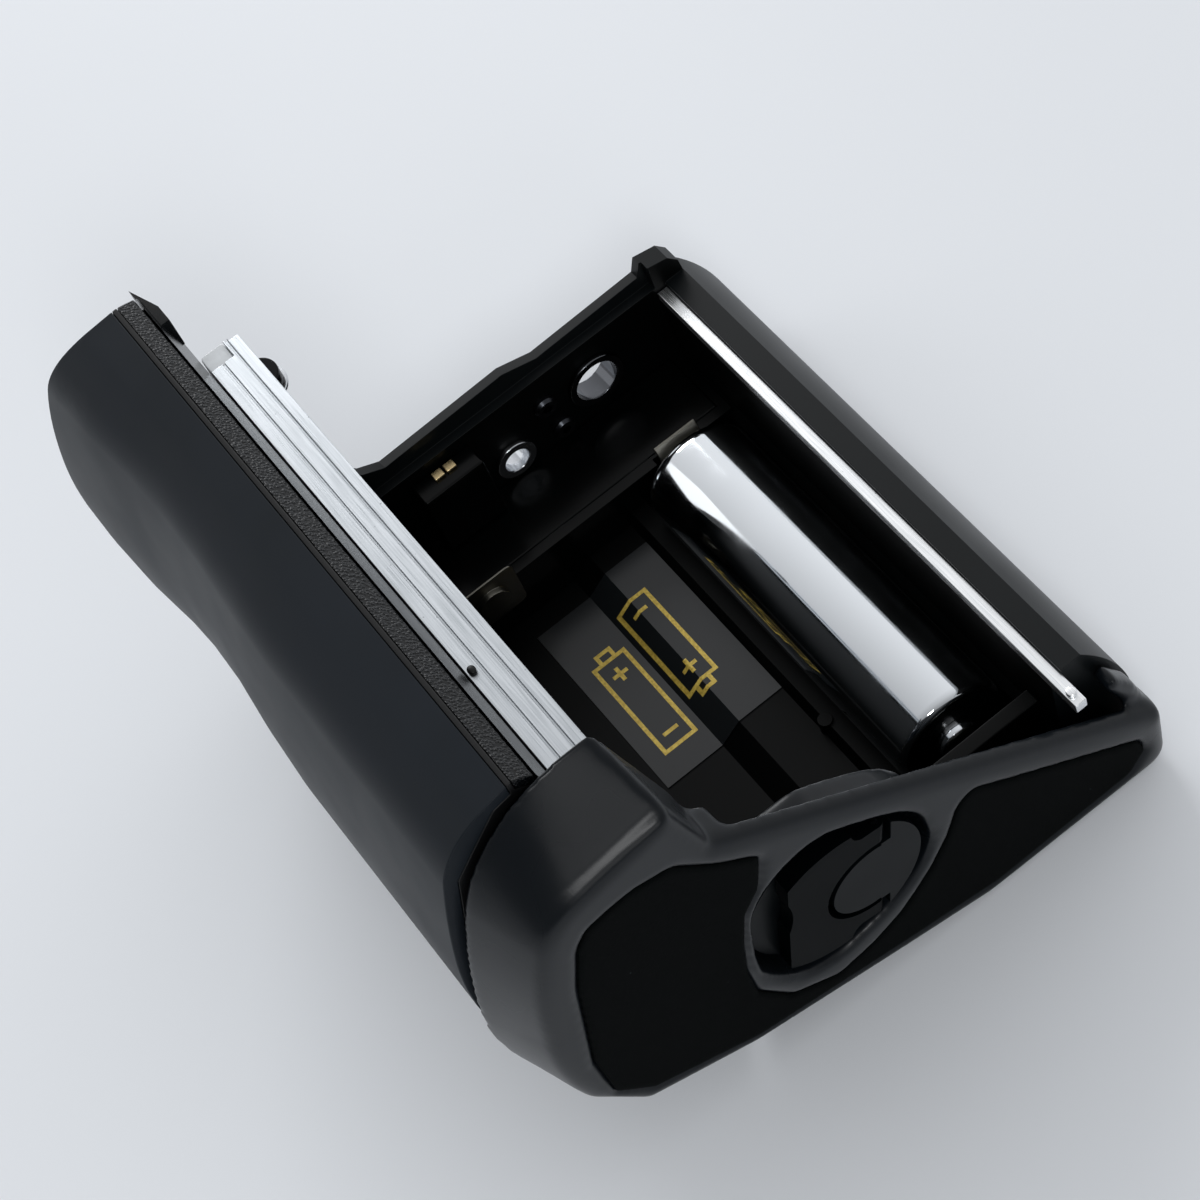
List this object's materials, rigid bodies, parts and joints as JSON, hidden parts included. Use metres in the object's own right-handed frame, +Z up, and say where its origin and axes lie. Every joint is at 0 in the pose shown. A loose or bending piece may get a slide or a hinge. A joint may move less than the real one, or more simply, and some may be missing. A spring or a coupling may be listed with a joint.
{
  "type": "camera battery grip",
  "caption": "Slide-on battery grip for a camera: rounded hand grip, open two-bay battery chamber, silver guide rails, and an end cap with a folding locking key.",
  "frame": {"origin": "on the rest face, at the middle of the length and of the width", "axes": "+X along the grip to the end cap, +Y from the hand grip to the rear wall, +Z up out of the open chamber"},
  "size_m": [0.087, 0.0787, 0.0721],
  "materials": {
    "shell_black": "satin black moulding",
    "core_black": "plain black moulding",
    "grip_covering": "soft-touch black covering",
    "pebbled_trim": "fine pebbled grain",
    "cap_satin": "smooth satin black-grey",
    "pad_black": "near-black flocked rubber",
    "rail_aluminium": "drawn and anodised silver",
    "rail_end_clear": "translucent white plastic",
    "rear_rail_metal": "thin bright steel strip",
    "black_detail": "black moulding",
    "carrier_black": "black contact moulding",
    "bush_steel": "turned bright steel",
    "screw_steel": "blackened steel",
    "contact_gold": "gold-plated contact",
    "contact_nickel": "nickel-plated spring strip",
    "label_film": "smoke-grey printed film",
    "cell_chrome": "polished bright can",
    "cell_ring": "dark insulating ring",
    "key_black": "satin black painted metal",
    "lock_steel": "plain steel"
  },
  "bodies": {
    "grip": {"cap_pad": "pad_black", "end_cap": "cap_satin", "far_carrier_lid": "carrier_black", "far_contact_carrier": "carrier_black", "far_wall_screws": "screw_steel", "front_bay_positive_contact": "contact_nickel", "front_cap_screws": "screw_steel", "front_rail": "rail_aluminium", "front_rail_end_piece": "rail_end_clear", "grip_core": "core_black", "grip_rubber": "grip_covering", "large_guide_bush": "bush_steel", "locating_lug": "black_detail", "locating_lug_plate": "bush_steel", "main_shell": "shell_black", "near_contact_carrier": "carrier_black", "output_contacts": "contact_gold", "output_terminal_block": "black_detail", "pebbled_strip": "pebbled_trim", "polarity_label": "label_film", "rail_stop_nub": "black_detail", "rear_bay_positive_contact": "contact_nickel", "rear_cap_screw": "screw_steel", "rear_rail": "rear_rail_metal", "rear_rail_pin": "rear_rail_metal", "small_guide_bush": "bush_steel", "smooth_edge_strip": "core_black"},
    "lock": {"lock_knob": "key_black", "key_hinge_pins": "lock_steel", "lock_shaft": "lock_steel", "lock_washer": "lock_steel", "lock_cam": "lock_steel"},
    "key": {"lock_key": "key_black"},
    "rear_leaf": {"rear_bay_negative_leaf": "contact_nickel"},
    "front_leaf": {"front_bay_negative_leaf": "contact_nickel"},
    "cell": {"cell_can": "cell_chrome", "cell_insulating_ring": "cell_ring", "cell_positive_cap": "cell_chrome", "cell_negative_plate": "cell_chrome"}
  },
  "joints": [
    {"name": "lock_turn", "type": "hinge", "parent": "grip", "child": "lock", "pos_m": [0.0412, -0.002, 0.0261], "axis": [1, 0, 0], "range_deg": [0, 90]},
    {"name": "key_fold", "type": "hinge", "parent": "lock", "child": "key", "pos_m": [0.0422, 0.00271, 0.02517], "axis": [0, 0.1933, 0.9811], "range_deg": [0, 90]},
    {"name": "rear_leaf_press", "type": "slide", "parent": "grip", "child": "rear_leaf", "axis": [-1, 0, 0], "range_m": [0, 0.0007], "stiffness_N_per_m": 400},
    {"name": "front_leaf_press", "type": "slide", "parent": "grip", "child": "front_leaf", "axis": [1, 0, 0], "range_m": [0, 0.0007], "stiffness_N_per_m": 400},
    {"name": "cell_lift", "type": "slide", "parent": "grip", "child": "cell", "axis": [0, 0, 1], "range_m": [0, 0.03]}
  ]
}
